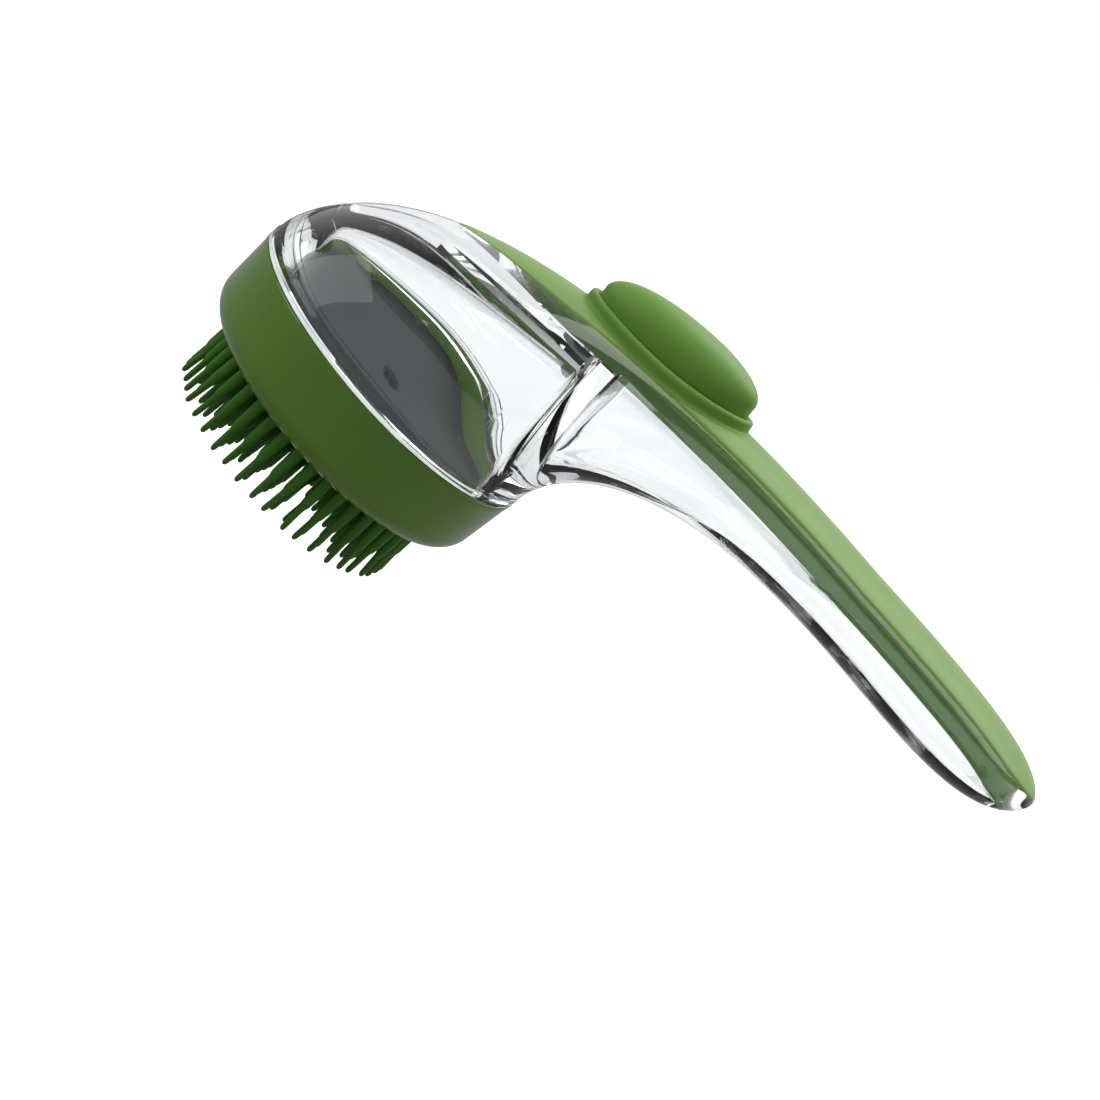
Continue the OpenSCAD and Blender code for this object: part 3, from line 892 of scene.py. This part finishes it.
@dataclass
class GripCover:
    """The rigid cover over the handle's trough, and the soft strip moulded on it."""

    skin: Skin
    cover_t: float = 1.6
    skirt_depth: float = 4.7
    skirt_t: float = 1.3
    first: float = 0.56
    last: float = 1.93

    def _wrap(self, name: str, outer: Section, inner: Section, across: int) -> bpy.types.Object:
        """A wall between two surfaces that follow the skin.

        Args:
            name: The piece's name.
            outer: Gives (y, depth) of the outer surface for the strip's half width and a fraction.
            inner: Gives (y, depth) of the inner surface.
            across: Faces across the wall.

        Returns:
            The closed wall.
        """

        def layer(section: Section) -> Place:
            def place(u: float, v: float) -> Vector:
                s = self.first + (self.last - self.first) * u
                return self.skin.skin(s, *section(self.skin.strip_w(s), v))

            return place

        return Bench.wall(name, 170, across, layer(outer), layer(inner))

    def strip(self, hole: bpy.types.Object) -> bpy.types.Object:
        """The soft strip, crowned, with rounded edges and an opening for the button."""
        t, edge_w, edge_h = self.skin.strip_t, 0.7, 0.55

        def outer(w: float, v: float) -> Pair:
            side = 2 * v - 1
            edge = max(0.0, abs(side) * w - (w - edge_w)) / edge_w
            return side * w, edge_h * (1 - math.sqrt(max(0.0, 1 - min(1.0, edge) ** 2)))

        obj = self._wrap("grip_strip_skin", outer, lambda w, v: ((2 * v - 1) * w, t), 44)
        Bench.cut(obj, hole, keep=True)
        return settle(obj, 50, Body.HANDLE, "grip_green", Look.GRIP, "grip_strip")

    def cover(self, hole: bpy.types.Object) -> bpy.types.Object:
        """The rigid cover with the skirts that fit inside the clear wall."""
        t, deep, wall, plate = self.skin.strip_t, self.skirt_depth, self.skirt_t, self.cover_t
        bend, slack = 0.18, 0.02

        def arch(wide: float, v: float, high: float) -> Pair:
            """A point of a flat-topped arch: up one skirt, across the plate and down the other."""
            if v < bend:
                return -wide, deep + (high - deep) * v / bend
            if v > 1 - bend:
                return wide, deep + (high - deep) * (1 - v) / bend
            return wide * (2 * (v - bend) / (1 - 2 * bend) - 1), high

        def outer(w: float, v: float) -> Pair:
            return arch(w - slack, v, t)

        def inner(w: float, v: float) -> Pair:
            return arch(max(slack, w - wall), v, t + plate)

        obj = self._wrap("cover_shell", outer, inner, 50)
        Bench.cut(obj, hole)
        return settle(obj, 40, Body.HANDLE, "cover_green", Look.COVER, "handle_cover")


@dataclass
class ThumbButton:
    """The oval button: a stepped flange that hugs the strip, and a dome that slides in it."""

    skin: Skin
    middle_x: float = 31.45
    tilt: float = math.radians(10.9)
    flange_a: float = 18.9
    flange_b: float = 9.3
    dome_a: float = 17.15
    dome_b: float = 7.55
    wall_h: float = 3.3
    height: float = 8.6
    points: int = 96

    @property
    def middle_z(self) -> float:
        """Height of the strip's crown under the button."""
        return self.skin.height(self.middle_x, 0)

    def _at(self, u: float, v: float, w: float) -> Vector:
        """A point in the button's own tilted axes, in the frame's metres."""
        cos, sin = math.cos(self.tilt), math.sin(self.tilt)
        return self.skin.at(self.middle_x + u * cos - w * sin, v, self.middle_z + u * sin + w * cos)

    def _surface(self, u: float, v: float) -> float:
        """Height of the strip in the button's own axes."""
        cos, sin = math.cos(self.tilt), math.sin(self.tilt)
        x = self.middle_x + u * cos
        z = self.skin.height(x, v)
        return (z - self.middle_z - u * sin) * cos

    def _oval(self, a: float, b: float, w: float, drape: float = 0.0) -> list[Vector]:
        """An oval ring, lifted by the strip's own form where drape is 1."""
        ring = []
        for k in range(self.points):
            angle = 2 * math.pi * k / self.points
            u, v = a * math.cos(angle), b * math.sin(angle)
            ring.append(self._at(u, v, w + (drape * self._surface(u, v) if drape else 0)))
        return ring

    def hole(self) -> bpy.types.Object:
        """The tool that opens the strip and the cover under the button."""
        a, b = self.dome_a + 0.35, self.dome_b + 0.35
        return Bench.loft("button_hole", [self._oval(a, b, w) for w in (-9, 6)])

    def flange(self) -> bpy.types.Object:
        """The flange, with a fillet into the strip and a rounded upper edge."""
        gap = self.dome_a + 0.15 - self.flange_a
        fillet = [(0.75, -0.25), (0.62, 0.02), (0.3, 0.1), (0.1, 0.3), (0.0, 0.65), (-0.02, 1.2)]
        edge = [(-0.06, 1.6), (-0.2, 1.9), (-0.45, 2.08), (-0.75, 2.12), (-1.05, 2.05), (-1.3, 1.86), (-1.48, 1.62)]
        inside = [(gap, 1.4), (gap, 0.2), (gap + 0.05, -1.5)]
        steps = [(gap + 0.1, -1.6)] + fillet + edge + inside
        rings = [self._oval(self.flange_a + d, self.flange_b + d, w, 1.0) for d, w in steps]
        obj = Bench.loft("button_flange_skin", rings, hoop=True)
        return settle(obj, 50, Body.HANDLE, "button_green", Look.BUTTON, "button_flange")

    def dome(self) -> bpy.types.Object:
        """The dome that the thumb presses."""
        hollow = ((6.0, 4.0, 3.6), (1.8, 1.8, 2.6), (1.4, 1.4, 1.6), (1.4, 1.4, -0.9))
        wall = ((0.2, 0.2, -0.9), (0.0, 0.0, -0.6), (0.0, 0.0, 1.0))
        rings = [self._oval(self.dome_a - a, self.dome_b - b, w) for a, b, w in hollow + wall]
        bulge, crown_sag, steps = 2.35, 1.7, 25
        for j in range(steps):
            angle = math.pi / 2 * j / (steps + 0.5)
            scale = math.cos(angle) ** (2 / bulge)
            rise = self.wall_h + (self.height - self.wall_h) * math.sin(angle)
            ring = []
            for k in range(self.points):
                turn = 2 * math.pi * k / self.points
                u, v = self.dome_a * scale * math.cos(turn), self.dome_b * scale * math.sin(turn)
                sag = crown_sag * (v / self.dome_b) ** 2
                ring.append(self._at(u, v, rise - sag))
            rings.append(ring)
        obj = Bench.loft("button_dome_skin", rings)
        return settle(obj, 60, Body.BUTTON, "button_green", Look.BUTTON, "button_dome")


@dataclass
class CollarUnit:
    """The screw-on collar with its pad of bristles."""

    skin: Skin
    height: float = 16.0
    edge_r: float = 5.3
    lip_r: float = 27.0
    bore_r: float = 30.4
    ledge: float = -11.6
    pad_face: float = -14.0
    pad_r: float = 26.8
    hole_r: float = 5.3
    tips: float = -29.0
    rings: int = 6
    first_r: float = 7.4
    last_r: float = 24.6
    pitch: float = 3.6
    splay: float = 5.0

    def collar(self) -> bpy.types.Object:
        """The glossy collar, turned from its outline."""
        arc_z = -self.height + self.edge_r
        outline = [(self.bore_r, -0.35), (self.bore_r + 0.2, -0.15), (self.skin.rim_r - 0.45, -0.15)]
        outline += [(self.skin.rim_r - 0.13, -0.28), (self.skin.rim_r, -0.6)]
        outline += [(self.skin.rim_r - 0.2 - 0.45 * k / 6, -2 - 8 * k / 6) for k in range(6)]
        outline += [
            (self.lip_r + self.edge_r * math.cos(a), arc_z - self.edge_r * math.sin(a))
            for a in (math.pi / 2 * k / 16 for k in range(17))
        ]
        outline += [(self.lip_r - 0.25, -self.height + 0.2), (self.lip_r - 0.3, -self.height + 0.8)]
        outline += [(self.lip_r, self.ledge), (self.bore_r, self.ledge)]
        obj = Bench.spin("collar_skin", outline, self.skin.at(0, 0, 0), 160)
        return settle(obj, 40, Body.COLLAR, "collar_green", Look.COLLAR, "collar")

    def painted_light_liner(self) -> bpy.types.Object:
        """The inner face of the collar, seen through the clear mouth, in painted light: a thin sleeve in a much
        brighter copy of the collar green, standing in for light that hardly reaches it through the clear wall.
        """
        face, top, low = self.bore_r - 0.1, -0.5, self.ledge + 0.2
        outline = [(self.bore_r, top), (self.bore_r, low), (face, low), (face, top)]
        obj = Bench.spin("collar_painted_light_liner", outline, self.skin.at(0, 0, 0), 160)
        # The brighter green on this sleeve is painted light, not a different plastic.
        return settle(obj, 40, Body.COLLAR, "collar_green", Look.LINER)

    def pad(self) -> bpy.types.Object:
        """The soft pad that the bristles stand on."""
        top, face = self.ledge + 0.1, self.pad_face
        outline = [
            (self.hole_r, top), (self.pad_r, top), (self.pad_r, face + 0.5), (self.pad_r - 0.5, face),
            (self.hole_r + 0.4, face), (self.hole_r, face + 0.4),
        ]
        obj = Bench.spin("bristle_pad_skin", outline, self.skin.at(0, 0, 0), 96)
        return settle(obj, 40, Body.COLLAR, "bristle_green", Look.BRISTLE, "bristle_pad")

    def _bristle(self) -> bpy.types.Object:
        """One bristle along +Z from the origin: a thick cone, a shoulder, and a thin rounded tip."""
        length = self.pad_face - self.tips
        outline = [
            (1.9, -0.05), (1.5, 0.25), (1.33, 0.8), (1.25, 3.0), (1.12, 6.0), (0.98, 0.56 * length),
            (0.9, 0.6 * length), (0.72, 0.63 * length), (0.64, 0.67 * length), (0.6, 0.8 * length),
            (0.55, 0.95 * length), (0.42, 0.985 * length), (0.2, length - 0.01),
        ]
        sides = 12
        rings = [
            [
                Vector((r * math.cos(a), r * math.sin(a), z)) * MM
                for a in (2 * math.pi * k / sides for k in range(sides))
            ]
            for r, z in outline
        ]
        return Bench.loft("bristle", rings)

    def bristles(self, name: str, first: int, last: int, node: str) -> bpy.types.Object:
        """A band of rings of bristles, each bent a little differently.

        Args:
            name: The piece's name.
            first: First ring, counted from the middle.
            last: Last ring.
            node: The frame's node that it stands for.

        Returns:
            The joined bristles.
        """
        model = self._bristle()
        step = (self.last_r - self.first_r) / (self.rings - 1)
        length = (self.pad_face - self.tips) * MM
        chance = random.Random(first)
        parts = []
        for i in range(first, last + 1):
            radius = self.first_r + step * (i - 1)
            count = round(2 * math.pi * radius / self.pitch)
            lean = math.radians(self.splay) * max(0, i - 2) / (self.rings - 2)
            for k in range(count):
                turn = 2 * math.pi * (k + 0.5 * (i % 2)) / count
                part = model.copy()
                part.data = model.data.copy()
                bpy.context.collection.objects.link(part)
                bend = Vector((chance.gauss(0.1, 0.35) * lean * 8, chance.gauss(0, 0.3), 0)) * MM
                for v in part.data.vertices:
                    v.co += bend * max(0.0, v.co.z / length) ** 2
                place = (
                    Matrix.Translation(self.skin.at(0, 0, self.pad_face))
                    @ Matrix.Rotation(turn, 4, "Z")
                    @ Matrix.Translation(Vector((radius, 0, 0)) * MM)
                    @ Matrix.Rotation(math.pi - lean, 4, "Y")
                )
                part.data.transform(place)
                parts.append(part)
        bpy.data.objects.remove(model)
        obj = Bench.join(name, parts)
        Bench.outward(obj)
        return settle(obj, 60, Body.COLLAR, "bristle_green", Look.BRISTLE, node)


@dataclass
class FloorUnit:
    """The dark plate that closes the reservoir, with its nozzle."""

    skin: Skin
    top: float = -8.2
    thick: float = 1.4
    plug_top: float = -4.5
    plug_r: float = 26.7
    radius: float = 29.9
    nozzle_r: float = 5.0
    bore_r: float = 3.6
    drain_r: float = 1.5
    end: float = -14.6

    def plate(self) -> bpy.types.Object:
        """The plate, the plug that fills the mouth and the nozzle, turned in one piece."""
        low, inside = self.top - self.thick, self.plug_r - 1.4
        outline = [
            (self.bore_r, self.plug_top - 1.4), (self.drain_r, self.plug_top - 1.4),
            (self.drain_r, self.plug_top - 0.3), (self.drain_r + 0.3, self.plug_top),
            (self.plug_r - 0.6, self.plug_top), (self.plug_r - 0.15, self.plug_top - 0.2),
            (self.plug_r, self.plug_top - 0.6), (self.plug_r, self.top), (self.radius - 0.3, self.top),
            (self.radius, self.top - 0.3), (self.radius, low + 0.2), (self.radius - 0.2, low),
            (inside, low), (inside, self.plug_top - 1.4), (self.nozzle_r + 0.5, self.plug_top - 1.4),
            (self.nozzle_r, self.plug_top - 1.9), (self.nozzle_r, self.end + 0.3),
            (self.nozzle_r - 0.3, self.end), (self.bore_r, self.end),
        ]
        obj = Bench.spin("floor_plate_skin", outline, self.skin.at(0, 0, 0), 96)
        return settle(obj, 40, Body.FLOOR, "floor_grey", Look.FLOOR, "floor_plate")


@dataclass
class InnerPieces:
    """The pump and valve pieces, which keep the frame's own shapes."""

    nodes: dict[str, bpy.types.Object]

    def dress(self) -> None:
        """Gives each inner piece its finish."""
        looks = {
            "pump_cup": Look.PUMP, "plunger": Look.PUMP, "air_duct": Look.PUMP, "valve_retainer": Look.PUMP,
            "inlet_flap": Look.SILICONE, "duckbill_valve": Look.SILICONE, "dispense_valve": Look.SILICONE,
            "piston_seal": Look.SEAL, "duct_grommet": Look.SEAL, "mouth_seal": Look.SEAL,
            "return_spring": Look.WIRE, "pad_backing": Look.FLOOR,
        }
        for name, look in looks.items():
            data = self.nodes[name].data
            data.materials.clear()
            data.materials.append(look.value.material())
            LOG.info("%s: %s", name, look.name)


# ---------------------------------------------------------------------------------------------
# Studio
# ---------------------------------------------------------------------------------------------


@dataclass
class Studio:
    """A pale floor, a soft white room and the camera."""

    skin: Skin
    distance: float = 456.2
    shift_right: float = -28.0
    shift_up: float = 33.6
    elevation: float = math.radians(15)
    roll: float = math.radians(50.25)
    focal: float = 2500 / 1100 * 36
    floor_gap: float = 40.0
    through: float = 0.82
    floor_width: float = 6.0

    def camera(self) -> None:
        """A rolled camera that looks along +Y and a little down."""
        back = Vector((0, -math.cos(self.elevation), math.sin(self.elevation)))
        level, upright = Vector((1, 0, 0)), Vector((0, math.sin(self.elevation), math.cos(self.elevation)))
        right = math.cos(self.roll) * level + math.sin(self.roll) * upright
        up = -math.sin(self.roll) * level + math.cos(self.roll) * upright
        data = bpy.data.cameras.new("studio_camera")
        data.sensor_width = 36
        data.lens = self.focal
        data.clip_start = 0.01
        cam = bpy.data.objects.new("studio_camera", data)
        bpy.context.scene.collection.objects.link(cam)
        offset = -self.shift_right * right - self.shift_up * up + self.distance * back
        place = self.skin.origin + offset * MM
        turn = Matrix((right, up, back)).transposed().to_4x4()
        cam.matrix_world = Matrix.Translation(place) @ turn
        bpy.context.scene.camera = cam

    def floor(self) -> None:
        """A wide white floor below the brush."""
        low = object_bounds()[0][2]
        bpy.ops.object.select_all(action="DESELECT")
        bpy.ops.mesh.primitive_plane_add(size=self.floor_width, location=(0, 0, low - self.floor_gap * MM))
        floor = bpy.context.object
        floor.name = "studio_floor"
        look = bpy.data.materials.new("studio floor")
        look.use_nodes = True
        tree = look.node_tree
        rays = add_node(tree, "LightPath", {}).outputs
        seen = {0: rays["Is Transmission Ray"], 1: self.through, 2: rays["Is Camera Ray"]}
        direct = add_node(tree, "Math", seen, "MULTIPLY_ADD")
        feed(tree, tree.nodes["Principled BSDF"], {
            "Base Color": (0.3, 0.3, 0.3, 1), "Roughness": 0.9, "Specular IOR Level": 0.1,
            "Emission Color": (1, 1, 1, 1), "Emission Strength": direct.outputs["Value"],
        })
        floor.data.materials.append(look)
        floor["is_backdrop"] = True

    def world(self) -> None:
        """A white room that is dimmer on the side it is seen from."""
        world = bpy.data.worlds.new("studio_room")
        bpy.context.scene.world = world
        world.use_nodes = True
        tree = world.node_tree
        tree.nodes.clear()
        incoming = add_node(tree, "NewGeometry", {}).outputs["Incoming"]
        levels = []
        for axis, far, least, most in (((0, -1, 0), 0.6, 0.22, 0.9), ((0.1, 0.0, -1), 1.0, 0.0, 0.55)):
            part = add_node(tree, "VectorMath", {0: incoming, 1: axis}, "DOT_PRODUCT")
            level = add_node(tree, "MapRange", {
                "Value": part.outputs["Value"], "From Min": 0.0, "From Max": far,
                "To Min": least, "To Max": most,
            })
            levels.append(level.outputs["Result"])
        brightest = add_node(tree, "Math", {0: levels[0], 1: levels[1]}, "MAXIMUM")
        lit = add_node(tree, "Background", {"Color": (0.98, 0.99, 1, 1), "Strength": brightest.outputs[0]})
        seen = add_node(tree, "Background", {"Color": (1, 1, 1, 1), "Strength": 1.0})
        rays = add_node(tree, "LightPath", {}).outputs
        mix = add_node(
            tree, "MixShader", {"Fac": rays["Is Camera Ray"], 1: lit.outputs[0], 2: seen.outputs[0]}
        )
        add_node(tree, "OutputWorld", {"Surface": mix.outputs[0]})
        bpy.context.scene.view_settings.view_transform = "Standard"

    def lights(self) -> None:
        """Two large soft boxes."""
        for name, spot, size, power in (
            ("soft_box_top", (0.1, 0.5, 1.2), 1.0, 9.0),
            ("soft_box_left", (-1.1, -0.3, 0.5), 0.8, 3.0),
        ):
            data = bpy.data.lights.new(name, "AREA")
            data.size = size
            data.energy = power
            lamp = bpy.data.objects.new(name, data)
            bpy.context.scene.collection.objects.link(lamp)
            lamp.location = spot
            lamp.rotation_euler = (Vector(spot) - self.skin.origin).to_track_quat("Z", "Y").to_euler()


def main() -> None:
    """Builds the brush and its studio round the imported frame."""
    logging.basicConfig(level=logging.INFO, format="%(name)s: %(message)s")
    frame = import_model()
    low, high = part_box("collar")
    rim_gap = 0.15 * MM
    skin = Skin(Vector(((low.x + high.x) / 2, 0, high.z + rim_gap)))
    studio = Studio(skin)
    studio.camera()
    studio.floor()
    studio.world()
    studio.lights()

    button = ThumbButton(skin)
    hole = button.hole()
    grip = GripCover(skin)
    grip.strip(hole)
    grip.cover(hole)
    button.flange()
    button.dome()
    ClearBody(skin).build()
    FloorUnit(skin).plate()
    head = CollarUnit(skin)
    head.collar()
    head.painted_light_liner()
    head.pad()
    head.bristles("bristles_inner_skin", 1, 2, "bristles_inner")
    head.bristles("bristles_middle_skin", 3, 4, "bristles_middle")
    head.bristles("bristles_outer_skin", 5, 6, "bristles_outer")
    InnerPieces(frame["nodes"]).dress()


if __name__ == "__main__":
    main()
